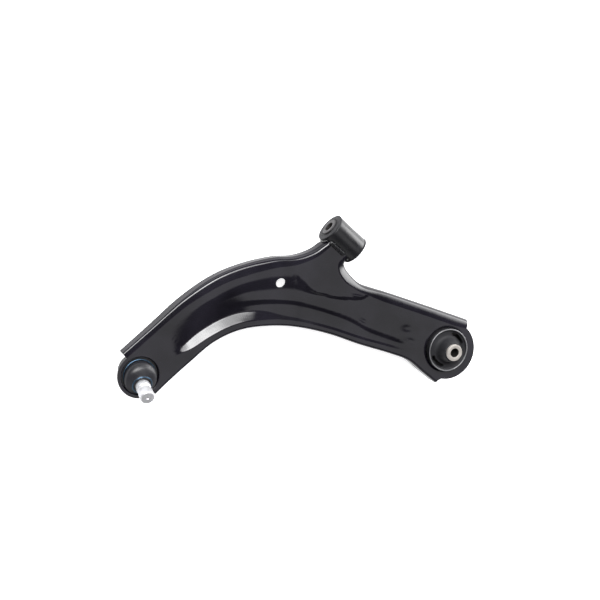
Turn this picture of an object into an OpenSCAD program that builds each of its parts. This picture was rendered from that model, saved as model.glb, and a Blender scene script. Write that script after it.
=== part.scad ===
// Stamped steel lower control arm: boomerang shell, welded front bush tube,
// upright rear bush and pressed-in ball joint. Millimetres, +Z up.
// Origin: centre of the front bush bore. +Y: front bush axis, forwards. -X: outboard.

/* [Sheet] */
// Thickness of the arm's steel sheet
sheet_t = 3.2; // [2.8:0.1:3.6]
// Height of the web's top face above the front bush axis
web_top = 12; // [11:0.5:13]
// Depth of the side walls at the elbow, sheet included
wall_h = 20; // [18:1:22]
// Depth of the side walls next to the ball joint
wall_h_ball = 15; // [13:1:17]
// Depth of the pressed pocket along the concave edge
pocket_depth = 5; // [4:0.5:6]
// Diameter of the locating hole in the web
web_hole_d = 12.5; // [10:0.5:14]

/* [Front bush] */
// Outer diameter of the welded tube
tube_d = 38; // [37.5:0.1:38.5]
// Bore diameter of the welded tube
tube_bore_d = 33; // [32.5:0.1:33.5]
// Length of the welded tube
tube_len = 44; // [43:0.5:45]
// Distance between the outer faces of the two rubber rims
front_rubber_len = 48.5; // [48:0.5:50]
// Diameter of the rubber rims
front_rim_d = 39; // [38:0.5:40]
// Length of the inner sleeve
front_sleeve_len = 52; // [51:0.5:54]
// Outer diameter of the inner sleeve
front_sleeve_d = 22.5; // [22:0.1:23]
// Bolt bore in both inner sleeves
bolt_bore_d = 12.2; // [12.1:0.1:12.6]

/* [Rear bush] */
// Outer diameter of the rear bush's steel can
rear_can_d = 58; // [57:0.5:59]
// Length of the rear bush's steel can
rear_can_len = 42; // [40:1:44]
// How far the can stands above the web
rear_can_stand = 8; // [7:0.5:9]
// Outer diameter of the rear inner sleeve
rear_sleeve_d = 22.2; // [21.5:0.1:23]
// Length of the rear inner sleeve
rear_sleeve_len = 63; // [60:1:65]
// How far the rear inner sleeve stands above the can
rear_sleeve_stand = 17; // [15:1:18]

/* [Ball joint] */
// Lean of the stud from the housing axis, as the part is stored
stud_lean = 22; // [16:1:24]
// Direction of the lean, measured from +X
stud_lean_dir = -137; // [-180:1:-120]
// Diameter of the ball
ball_d = 27; // [26:0.5:27]
// Clamping diameter of the stud
stud_d = 18; // [17:0.5:18]
// Distance from the ball's centre to the stud's end
stud_len = 51.5; // [48:0.5:54]
// Outer diameter of the ball joint housing
housing_d = 41; // [40.5:0.1:41.5]

/* [Hidden] */

$fn = 96;
cut = 1;                    // how far a cutting shape runs past the face it cuts
curve_steps = 5;            // straight pieces between two control points of an outline
paint_colour = "#1c1c1e";
weld_colour = "#2a2a2c";
rubber_colour = "#2a2a2c";
zinc_colour = "#8396aa";

// Places in plan
rear_axis = [-16.5, -215];
rear_eye_centre = [-15.5, -220.5];
rear_eye_r = 39.2;
ball_axis = [-295.8, 101.5];
ball_eye_r = 28;
web_hole_at = [-96.5, 32.5];
pocket_edge_gap = 9;        // flat land between the concave edge and the pocket
pocket_w = 21;              // widest part of the pocket

// Outer faces of the side walls, walked clockwise with the metal on the right
front_edge_points = [
    [-287.5, 137], [-239, 128.3], [-190, 119.8], [-146, 106.2], [-110, 86],
    [-78, 60.3], [-58, 38.5], [-38, 25], [-18, 19], [-8, 18.5]
];
inner_edge_points = [
    [-8, -19], [-17, -19.8], [-25.5, -25], [-28.5, -40], [-28, -57], [-21.8, -74.6],
    [-9.8, -103.2], [13.6, -163.2], [34.2, -217.5]
];
concave_edge_points = [
    [-60, -236], [-61, -210], [-62, -182], [-71.2, -154.3], [-89, -110.4], [-104.7, -67],
    [-123.6, -27.7], [-147, 6.2], [-174.4, 34.9], [-207.4, 52.8], [-244.2, 60.8], [-276, 66.4],
    [-302, 70]
];

function mix_curve(a, b, c, d, t) =
    0.5 * (2 * b + (c - a) * t + (2 * a - 5 * b + 4 * c - d) * t * t
           + (3 * b - a - 3 * c + d) * t * t * t);
function curve(p) = [
    for (i = [0 : len(p) - 2], k = [0 : curve_steps - 1])
        mix_curve(p[max(i - 1, 0)], p[i], p[i + 1], p[min(i + 2, len(p) - 1)], k / curve_steps),
    p[len(p) - 1]
];
function heading(p, i) =
    let (d = p[min(i + 1, len(p) - 1)] - p[max(i - 1, 0)]) d / norm(d);
function inset(p, gap) = [
    for (i = [0 : len(p) - 1]) let (h = heading(p, i)) p[i] + gap[i] * [h[1], -h[0]]
];
function even(p, value) = [for (i = p) value];
function turned(p) = [for (i = [len(p) - 1 : -1 : 0]) p[i]];
function arc(centre, r, from, to, n) = [
    for (i = [0 : n]) let (a = from + (to - from) * i / n) centre + r * [cos(a), sin(a)]
];

front_edge = curve(front_edge_points);
inner_edge = curve(inner_edge_points);
concave_edge = curve(concave_edge_points);
rear_eye = arc(rear_eye_centre, rear_eye_r, 3.5, -153, 24);
ball_eye = arc(ball_axis, ball_eye_r, -107, -276, 24);
outline = concat(front_edge, inner_edge, rear_eye, concave_edge, ball_eye);

// The pocket runs along the concave edge between these two points of its curve
pocket_from = 15;
pocket_to = 50;
pocket_land = [for (i = [pocket_from : pocket_to]) concave_edge[i]];
function pocket_share(i) = i / (pocket_to - pocket_from);
function pocket_width(i) = pocket_w * pow(sin(180 * (0.06 + 0.9 * pocket_share(i))), 0.6);
pocket_widths = [for (i = [0 : pocket_to - pocket_from]) pocket_width(i)];

wall_bottom = web_top - wall_h;
ball_wall_bottom = web_top - wall_h_ball;
taper_from_x = -205;        // the side walls start to get shallower here
taper_to_x = -320;          // and would reach their least depth here

// Front bush
front_can_wall = 1.3;
front_can_bore_r = tube_bore_d / 2 - front_can_wall;
front_rim_t = (front_rubber_len - tube_len) / 2;

// Weld runs at the tube
top_weld_r = 3;
top_weld_at = [-15.4, 17, web_top + 0.4];
top_weld_len = 27;
side_weld_r = 2;
side_weld_front_y = 19.2;
side_weld_rear_y = -19.9;

// Rear bush heights
rear_can_top = web_top + rear_can_stand;
rear_can_bottom = rear_can_top - rear_can_len;
rear_sleeve_top = rear_can_top + rear_sleeve_stand;
rear_sleeve_bottom = rear_sleeve_top - rear_sleeve_len;
rear_collar_len = 26;
rear_can_wall = 1.6;
rubber_sink = 2.5;          // how far the rubber lies below the can's rims
void_mid_r = 22.6;          // two curved voids next to the can
void_w = 4.6;
void_arc = 50;
void_dir = -2;

// Ball joint heights and radii
ball_z = -3;
well_r = 23.5;
well_depth = 7;
seat_z = web_top - well_depth;
collar_bottom = -8;
flange_r = 23.2;
flange_t = 2.2;
flange_top = seat_z + flange_t;
boot_seat_r = 17.2;
boot_seat_top = flange_top + 3;
race_r = 16.5;
race_bottom = -17.8;
housing_bottom = -21;
cover_r = 18;
cover_t = 2.3;
lip_r = 16.8;
lip_t = 0.7;
fit_gap = 0.03;             // radial running clearance of the ball in its race
snap_top = collar_bottom - 0.1;
snap_t = 1.6;
snap_in_r = 19.3;
snap_out_r = 22.8;
snap_opening = 24;          // angle left open in the ring

// Dust boot
boot_wall = 2;
boot_lip_r = 18.9;
boot_lip_top = boot_seat_top + 0.2;
bulge_z = 15.5;
bulge_r = 20;
bulge_shift = 3.5;
bulge_lean = 9;
boot_neck_at = 20.5;        // from the ball's centre, along the stud
boot_top_at = 26.3;
boot_top_r = 11;
boot_flank_r = 10.4;        // top of the boot's flank, inside the neck
neck_overlap = 0.5;

// Ball stud
stud_seat_r = stud_d / 2 - 0.25;  // under the boot
clamp_from = 27.3;          // start of the clamped shank, from the ball's centre
base_wire_r = 0.9;
stud_wire_r = 0.8;
wire_gap = 0.05;

module at_ball() { translate([ball_axis[0], ball_axis[1], 0]) children(); }
module at_rear() { translate([rear_axis[0], rear_axis[1], 0]) children(); }
module along_y() { rotate([90, 0, 0]) children(); }
module on_stud() {
    translate([ball_axis[0], ball_axis[1], ball_z])
        rotate([0, 0, stud_lean_dir]) rotate([0, stud_lean, 0]) children();
}
module slab(points, low, high) {
    translate([0, 0, low]) linear_extrude(high - low) polygon(points);
}
module wall(edge) {
    slab(concat(edge, turned(inset(edge, even(edge, sheet_t)))), wall_bottom, web_top);
}
module ring(r_in, r_out, low, high) {
    translate([0, 0, low]) difference() {
        cylinder(r = r_out, h = high - low);
        translate([0, 0, -cut]) cylinder(r = r_in, h = high - low + 2 * cut);
    }
}
module pipe_y(r_in, r_out, length) { along_y() ring(r_in, r_out, -length / 2, length / 2); }
module pin_y(r, length) { along_y() translate([0, 0, -length / 2]) cylinder(r = r, h = length); }

// Pocket outline, grown by the given distance on every side
function pocket_outline(grow) = concat(
    inset(pocket_land, even(pocket_land, pocket_edge_gap - grow)),
    turned(inset(pocket_land, [for (w = pocket_widths) pocket_edge_gap + w + grow]))
);

// Metal taken away under the side walls so that they get shallower towards the ball joint
module shallow_end() {
    front_y = 160;
    width = 120;
    translate([0, front_y, 0]) along_y() linear_extrude(width) polygon([
        [taper_to_x, wall_bottom - cut], [taper_to_x, ball_wall_bottom],
        [taper_from_x, wall_bottom], [taper_from_x, wall_bottom - cut]
    ]);
}

module arm_shell() {
    color(paint_colour) difference() {
        union() {
            slab(outline, web_top - sheet_t, web_top);
            difference() {
                union() {
                    wall(front_edge);
                    wall(concave_edge);
                }
                shallow_end();
            }
            wall(inner_edge);
            slab(pocket_outline(sheet_t), web_top - pocket_depth - sheet_t, web_top);
            at_rear() translate([0, 0, web_top - rear_collar_len])
                cylinder(r = rear_can_d / 2 + sheet_t, h = rear_collar_len);
            at_ball() translate([0, 0, seat_z - sheet_t])
                cylinder(r = well_r + sheet_t, h = well_depth + sheet_t);
            at_ball() translate([0, 0, collar_bottom])
                cylinder(r = housing_d / 2 + sheet_t, h = seat_z - collar_bottom);
        }
        slab(pocket_outline(0), web_top - pocket_depth, web_top + cut);
        at_rear() translate([0, 0, rear_can_bottom])
            cylinder(r = rear_can_d / 2, h = rear_can_len);
        at_ball() translate([0, 0, seat_z]) cylinder(r = well_r, h = well_depth + cut);
        at_ball() translate([0, 0, collar_bottom - cut])
            cylinder(r = housing_d / 2, h = seat_z - collar_bottom + 2 * cut);
        translate([web_hole_at[0], web_hole_at[1], 0]) cylinder(d = web_hole_d, h = web_top + cut);
        tube_room();
    }
}

// The tube's round, cut out of what is welded to it
module tube_room() { pin_y(tube_d / 2, 2 * tube_len); }
module front_bush_tube() {
    color(paint_colour) pipe_y(tube_bore_d / 2, tube_d / 2, tube_len);
}

// Weld run where the web's end meets the tube
module neck_weld_top() {
    below = 4 * top_weld_r;
    color(weld_colour) difference() {
        translate(top_weld_at) along_y() cylinder(r = top_weld_r, h = top_weld_len);
        translate([top_weld_at[0] - below, -top_weld_len, web_top - below])
            cube([2 * below, 2 * top_weld_len, below]);
        tube_room();
    }
}
// Weld run where a side wall meets the tube, bent round the tube
module side_weld(y) {
    room = 5;
    color(weld_colour) difference() {
        intersection() {
            translate([0, y, 0]) along_y() rotate_extrude()
                translate([tube_d / 2, 0]) circle(side_weld_r);
            translate([-tube_d, y - room, wall_bottom + 1]) cube([tube_d, 2 * room, wall_h - 4]);
        }
        tube_room();
        slab(outline, wall_bottom - cut, web_top + cut);
    }
}
module neck_weld_front() { side_weld(side_weld_front_y); }
module neck_weld_rear() { side_weld(side_weld_rear_y); }

module front_bush_outer_sleeve() {
    color("#8c9094") pipe_y(front_can_bore_r, tube_bore_d / 2, tube_len);
}
module front_rim(y) { translate([0, y, 0]) pin_y(front_rim_d / 2, front_rim_t); }
module front_bush_rubber() {
    rim_y = (tube_len + front_rim_t) / 2;
    color(rubber_colour) difference() {
        union() {
            pin_y(front_can_bore_r, front_rubber_len);
            front_rim(rim_y);
            front_rim(-rim_y);
        }
        pin_y(front_sleeve_d / 2, front_rubber_len + 2 * cut);
    }
}
module front_bush_inner_sleeve() {
    color("#b9bcc0") pipe_y(bolt_bore_d / 2, front_sleeve_d / 2, front_sleeve_len);
}

module rear_bush_outer_sleeve() {
    color("#3a3b3e") at_rear()
        ring(rear_can_d / 2 - rear_can_wall, rear_can_d / 2, rear_can_bottom, rear_can_top);
}
// Bonded rubber with two curved voids next to the can and a cone up to the inner sleeve
module rear_void(direction) {
    rotate([0, 0, direction - void_arc / 2]) translate([0, 0, rear_can_bottom - cut])
        rotate_extrude(angle = void_arc)
            translate([void_mid_r - void_w / 2, 0]) square([void_w, rear_can_len + 2 * cut]);
}
module rear_bush_rubber() {
    can_r = rear_can_d / 2 - rear_can_wall;
    sleeve_r = rear_sleeve_d / 2;
    top = rear_can_top - rubber_sink;
    bottom = rear_can_bottom + rubber_sink;
    color(rubber_colour) at_rear() difference() {
        rotate_extrude() polygon([
            [sleeve_r, bottom - 4], [sleeve_r + 3, bottom - 4], [sleeve_r + 6, bottom],
            [can_r, bottom], [can_r, top], [can_r - 9, top + 1], [sleeve_r + 3.5, top + 10],
            [sleeve_r + 1.5, rear_sleeve_top - 3], [sleeve_r, rear_sleeve_top - 2.5]
        ]);
        rear_void(void_dir);
        rear_void(void_dir + 180);
    }
}
module rear_bush_inner_sleeve() {
    color("#c4bfb8") at_rear()
        ring(bolt_bore_d / 2, rear_sleeve_d / 2, rear_sleeve_bottom, rear_sleeve_top);
}

module ball_joint_housing() {
    body_r = housing_d / 2;
    groove_low = snap_top - snap_t - 0.1;
    groove_high = snap_top + 0.1;
    opening_r = 11.8;
    opening_top_r = 13.8;
    color("#232325") at_ball() rotate_extrude() polygon([
        [body_r - 1, housing_bottom], [body_r, housing_bottom + 1], [body_r, groove_low],
        [snap_in_r - 0.1, groove_low], [snap_in_r - 0.1, groove_high], [body_r, groove_high],
        [body_r, seat_z], [flange_r, seat_z], [flange_r, flange_top], [boot_seat_r, flange_top],
        [boot_seat_r, boot_seat_top], [opening_top_r, boot_seat_top], [opening_r, flange_top],
        [opening_r, seat_z], [race_r, seat_z], [race_r, housing_bottom + lip_t + cover_t],
        [cover_r, housing_bottom + lip_t + cover_t], [cover_r, housing_bottom + lip_t],
        [lip_r, housing_bottom + lip_t], [lip_r, housing_bottom]
    ]);
}
module bearing_race() {
    color("#e8e4d8") at_ball() difference() {
        translate([0, 0, race_bottom]) cylinder(r = race_r, h = seat_z - race_bottom);
        translate([0, 0, ball_z]) sphere(r = ball_d / 2 + fit_gap);
    }
}
module housing_cover() {
    color("#5a5c60") at_ball() translate([0, 0, housing_bottom + lip_t]) cylinder(r = cover_r, h = cover_t);
}
module housing_snap_ring() {
    color("#4a4c50") at_ball() translate([0, 0, snap_top - snap_t])
        rotate([0, 0, stud_lean_dir + snap_opening / 2])
            rotate_extrude(angle = 360 - snap_opening)
                translate([snap_in_r, 0]) square([snap_out_r - snap_in_r, snap_t]);
}
module wire_ring(inner_r, wire_r, at) {
    color(zinc_colour) translate([0, 0, at]) rotate_extrude()
        translate([inner_r + wire_gap + wire_r, 0]) circle(wire_r, $fn = 24);
}
module boot_base_ring() { at_ball() wire_ring(boot_lip_r, base_wire_r, flange_top + 1.6); }
// Thin round disc, as a cross-section of the boot
module boot_disc(r, t) { cylinder(r = r, h = t, $fn = 32); }
module boot_bulge(shrink) {
    at_ball() rotate([0, 0, stud_lean_dir]) translate([bulge_shift, 0, bulge_z])
        rotate([0, bulge_lean, 0]) boot_disc(bulge_r - shrink, 1);
}
module boot_form(shrink) {
    hull() {
        at_ball() translate([0, 0, boot_lip_top]) boot_disc(boot_lip_r - shrink, 0.5);
        boot_bulge(shrink);
    }
    hull() {
        boot_bulge(shrink);
        on_stud() translate([0, 0, boot_neck_at - shrink]) boot_disc(boot_flank_r - shrink / 2, 1);
    }
}
module dust_boot() {
    lip_h = boot_lip_top - flange_top;
    color("#303034") difference() {
        union() {
            boot_form(0);
            at_ball() ring(boot_seat_r + 0.05, boot_lip_r, flange_top + 0.1, boot_lip_top + 0.4);
            on_stud() translate([0, 0, boot_neck_at - neck_overlap])
                cylinder(r = boot_top_r, h = boot_top_at - boot_neck_at + neck_overlap);
        }
        boot_form(boot_wall);
        at_ball() translate([0, 0, flange_top]) cylinder(r = boot_seat_r - 0.4, h = lip_h + 1);
        on_stud() cylinder(r = stud_seat_r + 0.06, h = stud_len);
    }
}
module boot_stud_ring() { on_stud() wire_ring(boot_top_r, stud_wire_r, boot_top_at - 1.2); }
module ball_stud() {
    r = stud_d / 2;
    neck_r = 5.8;
    groove_at = 36.5;
    groove_r = 5;
    groove_depth = 1.8;
    chamfer = 1.3;
    color("#d8dadc") on_stud() difference() {
        union() {
            sphere(r = ball_d / 2);
            cylinder(r = neck_r, h = 18.5);
            rotate_extrude() polygon([
                [0, 18], [neck_r, 18], [stud_seat_r, 21], [stud_seat_r, clamp_from - 0.3],
                [r, clamp_from], [r, stud_len - chamfer], [r - chamfer, stud_len], [0, stud_len]
            ]);
        }
        translate([0, 0, groove_at]) rotate_extrude()
            translate([r + groove_r - groove_depth, 0]) circle(groove_r);
        translate([0, 0, stud_len - 1.5]) cylinder(r1 = 0.8, r2 = 2.4, h = 1.6);
    }
}

arm_shell();
front_bush_tube();
neck_weld_top();
neck_weld_front();
neck_weld_rear();
front_bush_outer_sleeve();
front_bush_rubber();
front_bush_inner_sleeve();
rear_bush_outer_sleeve();
rear_bush_rubber();
rear_bush_inner_sleeve();
ball_joint_housing();
bearing_race();
housing_cover();
housing_snap_ring();
boot_base_ring();
dust_boot();
boot_stud_ring();
ball_stud();
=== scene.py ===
import math

import bpy
import numpy as np
from mathutils import Matrix, Vector
from mathutils.geometry import delaunay_2d_cdt


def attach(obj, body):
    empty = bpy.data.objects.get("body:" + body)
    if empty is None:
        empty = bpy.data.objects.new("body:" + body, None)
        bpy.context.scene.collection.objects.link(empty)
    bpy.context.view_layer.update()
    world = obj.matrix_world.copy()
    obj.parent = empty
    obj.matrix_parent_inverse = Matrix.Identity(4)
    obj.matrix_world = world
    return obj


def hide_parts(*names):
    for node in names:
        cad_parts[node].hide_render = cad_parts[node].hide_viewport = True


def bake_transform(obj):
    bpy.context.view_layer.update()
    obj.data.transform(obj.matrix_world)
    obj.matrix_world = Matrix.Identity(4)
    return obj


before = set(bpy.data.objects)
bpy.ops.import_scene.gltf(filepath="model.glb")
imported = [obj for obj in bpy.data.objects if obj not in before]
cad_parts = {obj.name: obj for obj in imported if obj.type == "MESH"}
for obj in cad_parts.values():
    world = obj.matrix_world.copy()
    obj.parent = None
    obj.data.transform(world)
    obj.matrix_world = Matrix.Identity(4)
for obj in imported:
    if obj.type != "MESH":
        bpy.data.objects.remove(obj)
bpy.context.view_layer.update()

# All shapes below are in millimetres in the part's frame; they become metres when a mesh is made.
MM = 0.001

# Sheet and outline of the arm
SHEET_T = 3.2
WEB_TOP = 12.0
WALL_BOTTOM = -8.0
BALL_WALL_BOTTOM = -3.0
WALL_TAPER_X = (-320.0, -205.0)
LEAST_STRAIGHT_WALL = 1.5
WEB_HOLE = (-96.5, 32.5)
WEB_HOLE_R = 6.25
WEB_HOLE_ROLL = 0.3
WEB_HOLE_POINTS = 48
REAR_AXIS = (-16.5, -215.0)
REAR_EYE_CENTRE = (-15.5, -220.5)
REAR_EYE_R = 39.2
BALL_AXIS = (-295.8, 101.5)
BALL_EYE_R = 28.0
BALL_Z = -3.0
STUD_LEAN = 22.0
STUD_LEAN_DIR = -137.0
STUD_R = 9.0
STUD_LEN = 51.5

# Outer faces of the side walls, walked clockwise with the metal on the right
FRONT_EDGE = [
    (-287.5, 137), (-239, 128.3), (-190, 119.8), (-146, 106.2), (-110, 86),
    (-78, 60.3), (-58, 38.5), (-38, 25), (-18, 19), (-8, 18.5),
]
INNER_EDGE = [
    (-8, -19), (-17, -19.8), (-25.5, -25), (-28.5, -40), (-28, -57), (-21.8, -74.6),
    (-9.8, -103.2), (13.6, -163.2), (34.2, -217.5),
]
CONCAVE_EDGE = [
    (-60, -236), (-61, -210), (-62, -182), (-71.2, -154.3), (-89, -110.4), (-104.7, -67),
    (-123.6, -27.7), (-147, 6.2), (-174.4, 34.9), (-207.4, 52.8), (-244.2, 60.8), (-276, 66.4),
    (-302, 70),
]
EDGE_STEPS = 8


def mix_curve(a, b, c, d, t):
    """Catmull-Rom point between b and c."""
    return 0.5 * (
        2 * b + (c - a) * t + (2 * a - 5 * b + 4 * c - d) * t * t
        + (3 * b - a - 3 * c + d) * t * t * t
    )


def curve(points, steps=EDGE_STEPS):
    """Smooth curve through the points, as an array."""
    p = np.array(points, float)
    last = len(p) - 1
    made = []
    for i in range(last):
        a, b, c, d = p[max(i - 1, 0)], p[i], p[i + 1], p[min(i + 2, last)]
        for k in range(steps):
            made.append(mix_curve(a, b, c, d, k / steps))
    made.append(p[last])
    return np.array(made)


def headings(p):
    """Unit direction of travel at each point."""
    d = np.empty_like(p)
    d[1:-1] = p[2:] - p[:-2]
    d[0] = p[1] - p[0]
    d[-1] = p[-1] - p[-2]
    return d / np.linalg.norm(d, axis=1)[:, None]


def inward(p):
    """Unit normal towards the metal at each point."""
    h = headings(p)
    return np.stack([h[:, 1], -h[:, 0]], 1)


def arc(centre, r, start, end, n):
    """n steps round a circle, between two angles in degrees."""
    a = np.radians(np.linspace(start, end, n + 1))
    return np.stack([centre[0] + r * np.cos(a), centre[1] + r * np.sin(a)], 1)


# Heights of the web. A place on the web is given as u, its share of the way along the concave
# edge from the rear bush to the ball joint, and d, its distance from that edge.
TABLE_STEP = 0.001
TABLE_U = np.linspace(-0.1, 1.1, 1201)
TABLE_BLUR = 0.011
BLUR_REACH = 40


def table(*stations):
    """Values that change smoothly along the arm, from (u, value) pairs."""
    u, v = zip(*stations)
    offsets = np.arange(-BLUR_REACH, BLUR_REACH + 1) * TABLE_STEP
    weights = np.exp(-0.5 * (offsets / TABLE_BLUR) ** 2)
    raw = np.pad(np.interp(TABLE_U, u, v), BLUR_REACH, mode="edge")
    return np.convolve(raw, weights / weights.sum(), mode="valid")


def at(values, u):
    """A table's values at u."""
    return np.interp(u, TABLE_U, values)


def ramp(t, corner=0.3):
    """0 to 1 along a straight slope with rounded ends; corner is each end's share."""
    t = np.clip(t, 0, 1)
    m = 1 / (1 - corner)
    low = 0.5 * m * t * t / corner
    high = 1 - 0.5 * m * (1 - t) ** 2 / corner
    return np.where(t < corner, low, np.where(t > 1 - corner, high, m * (t - corner / 2)))


# Start of the slope that rises to the concave edge, its width, and its rounded share
RISE_AT = table(
    (0.10, 10), (0.14, 10), (0.17, 8.4), (0.25, 7.6), (0.38, 6.4), (0.45, 6.4), (0.51, 7.4),
    (0.64, 7.9), (0.70, 8.6), (0.78, 8.6), (0.81, 9.6), (0.842, 12), (0.87, 17), (0.9, 20),
)
RISE_W = table(
    (0.15, 4.5), (0.3, 4.5), (0.5, 5), (0.56, 7), (0.6, 12), (0.63, 14), (0.81, 13), (0.86, 9)
)
RISE_CORNER = 0.17
# Upper edge of the pressed pocket
STEP_AT = table(
    (0.15, 20), (0.22, 21.3), (0.25, 21.9), (0.29, 22.9), (0.33, 25.9), (0.37, 27.7),
    (0.43, 28.6), (0.49, 29.7), (0.52, 31.1), (0.6, 31.7), (0.68, 31.4),
)
STEP_W = 8.0
# Depth at the pocket's upper edge, and how much deeper its floor gets towards the rise
STEP_DEPTH = table(
    (0.13, 0), (0.165, 0.8), (0.21, 1.0), (0.5, 1.1), (0.58, 1.6), (0.64, 3.2), (0.69, 5.0),
    (0.76, 6.1), (0.82, 5.9), (0.85, 4.4), (0.875, 1.7), (0.89, 0),
)
FLOOR_DEPTH = table((0.13, 0), (0.2, 0.9), (0.42, 0.9), (0.55, 0.3), (0.6, 0))
# The land beside the pocket keeps this share of the height it would lose
LAND_KEEPS = table((0.5, 0.42), (0.58, 0.5), (0.64, 0.8), (0.68, 1.0))
LEDGE_LAND_KEEPS = table((0.5, 0), (0.58, 0.1), (0.66, 0.6), (0.7, 0.75))
# How much of the pocket is the open valley next to the ball joint
VALLEY_SHARE = table((0.64, 0), (0.665, 0.7), (0.69, 1))
VALLEY_AT = 21.5
VALLEY_END = table((0.6, 50), (0.75, 52), (0.85, 54))
VALLEY_CURVE = 1.4
# The ledge: the web is lower between these two lines and the concave edge
LEDGE_TOP = table(
    (0.13, 96), (0.30, 96), (0.335, 72), (0.345, 62), (0.37, 57.5), (0.40, 53.5),
    (0.418, 51.4), (0.44, 50), (0.492, 50), (0.505, 54), (0.515, 61), (0.53, 69), (0.56, 71),
    (0.61, 68), (0.657, 63), (0.70, 58), (0.8, 52),
)
LEDGE_LOW = table(
    (0.13, 84), (0.30, 84), (0.335, 64), (0.345, 56), (0.37, 52.5), (0.412, 46), (0.5, 45.6),
    (0.55, 44), (0.64, 43.5), (0.67, 45), (0.70, 43), (0.8, 40),
)
LEDGE_DROP = table(
    (0.05, 0), (0.13, 0.5), (0.2, 1.0), (0.35, 1.6), (0.46, 2.0), (0.505, 2.6), (0.53, 4.0),
    (0.6, 4.4), (0.66, 3.6), (0.72, 1.8), (0.8, 0),
)
# The ledge fades out round the rear bush
LEDGE_ENDS_AT = 40.0
LEDGE_FADE = 30.0
# Small dents and folds: place, direction in degrees, half length, half width, height
DENTS = (
    ((-44, -60.5), -62, 10.0, 1.7, 0.55),
    ((-62.5, -92), -80, 6.5, 2.4, -0.6),
    ((-31, -150), -60, 9.0, 4.5, -0.9),
    ((-41, -166), -70, 10.0, 4.5, -0.9),
    ((-79, 21), 60, 7.0, 4.0, -0.6),
)

concave_fine = curve(CONCAVE_EDGE, 16)
concave_along = np.concatenate(
    [[0], np.cumsum(np.linalg.norm(np.diff(concave_fine, axis=0), axis=1))]
)


def place(xy):
    """(u, d) of points in plan."""
    a, b = concave_fine[:-1], concave_fine[1:]
    ab = b - a
    length = (ab * ab).sum(1)
    us, ds = [], []
    for block in np.array_split(xy, max(1, len(xy) // 2000)):
        rel = block[:, None, :] - a[None]
        t = np.clip((rel * ab).sum(2) / length, 0, 1)
        gap = rel - t[:, :, None] * ab
        dist = np.sqrt((gap * gap).sum(2))
        k = dist.argmin(1)
        row = np.arange(len(block))
        along = concave_along[k] + t[row, k] * (concave_along[k + 1] - concave_along[k])
        us.append(along / concave_along[-1])
        ds.append(dist[row, k])
    return np.concatenate(us), np.concatenate(ds)


def web_height(xy):
    """Height of the web's top face."""
    u, d = place(xy)
    step_at = at(STEP_AT, u)
    rise = ramp((d - at(RISE_AT, u)) / at(RISE_W, u), RISE_CORNER)
    stepped = 1 - ramp((d - step_at + STEP_W / 2) / STEP_W)
    open_slope = np.clip((at(VALLEY_END, u) - d) / (at(VALLEY_END, u) - VALLEY_AT), 0, 1)
    share = at(VALLEY_SHARE, u)
    fall = share * open_slope ** VALLEY_CURVE + (1 - share) * stepped
    across = np.clip((d - at(RISE_AT, u)) / (step_at - at(RISE_AT, u)), 0, 1)
    depth = at(STEP_DEPTH, u) * fall + at(FLOOR_DEPTH, u) * (1 - across ** 2)
    z = WEB_TOP - depth * (1 - at(LAND_KEEPS, u) * (1 - rise))
    ledge = ramp((at(LEDGE_TOP, u) - d) / (at(LEDGE_TOP, u) - at(LEDGE_LOW, u)))
    near_bush = np.linalg.norm(xy - np.array(REAR_AXIS), axis=1)
    drop = at(LEDGE_DROP, u) * (1 - at(LEDGE_LAND_KEEPS, u) * (1 - rise))
    z = z - drop * ledge * ramp((near_bush - LEDGE_ENDS_AT) / LEDGE_FADE)
    for centre, turn, half_l, half_w, height in DENTS:
        c, s = math.cos(math.radians(turn)), math.sin(math.radians(turn))
        rel = xy - np.array(centre, float)
        lengthways = (rel[:, 0] * c + rel[:, 1] * s) / half_l
        across = (rel[:, 1] * c - rel[:, 0] * s) / half_w
        z = z + height * np.exp(-(lengthways ** 2) - across ** 2)
    return z


def web_normal(xy):
    """Normal of the web's top face."""
    step = 0.15
    dx = (web_height(xy + [step, 0]) - web_height(xy - [step, 0])) / (2 * step)
    dy = (web_height(xy + [0, step]) - web_height(xy - [0, step])) / (2 * step)
    n = np.stack([-dx, -dy, np.ones(len(xy))], 1)
    return n / np.linalg.norm(n, axis=1)[:, None]


class Skin:
    """The sheet: matching points on its top (p) and underside (q), and the top's faces."""

    def __init__(self):
        self.p, self.q, self.n, self.faces = [], [], [], []

    def add(self, p, q, n):
        """Adds points and returns their numbers."""
        first = len(self.p)
        self.p.extend(np.asarray(p, float))
        self.q.extend(np.asarray(q, float))
        self.n.extend(np.asarray(n, float))
        return list(range(first, first + len(p)))

    def band(self, upper, lower, closed=False):
        """Quads between two rows of points; the lower row is on the right when walking on."""
        count = len(upper) if closed else len(upper) - 1
        for i in range(count):
            j = (i + 1) % len(upper)
            self.faces.append((upper[i], lower[i], lower[j], upper[j]))


skin = Skin()


def wall_bottom(x):
    """The side walls get shallower towards the ball joint."""
    share = np.clip((WALL_TAPER_X[1] - x) / (WALL_TAPER_X[1] - WALL_TAPER_X[0]), 0, 1)
    return WALL_BOTTOM + (BALL_WALL_BOTTOM - WALL_BOTTOM) * share


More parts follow.
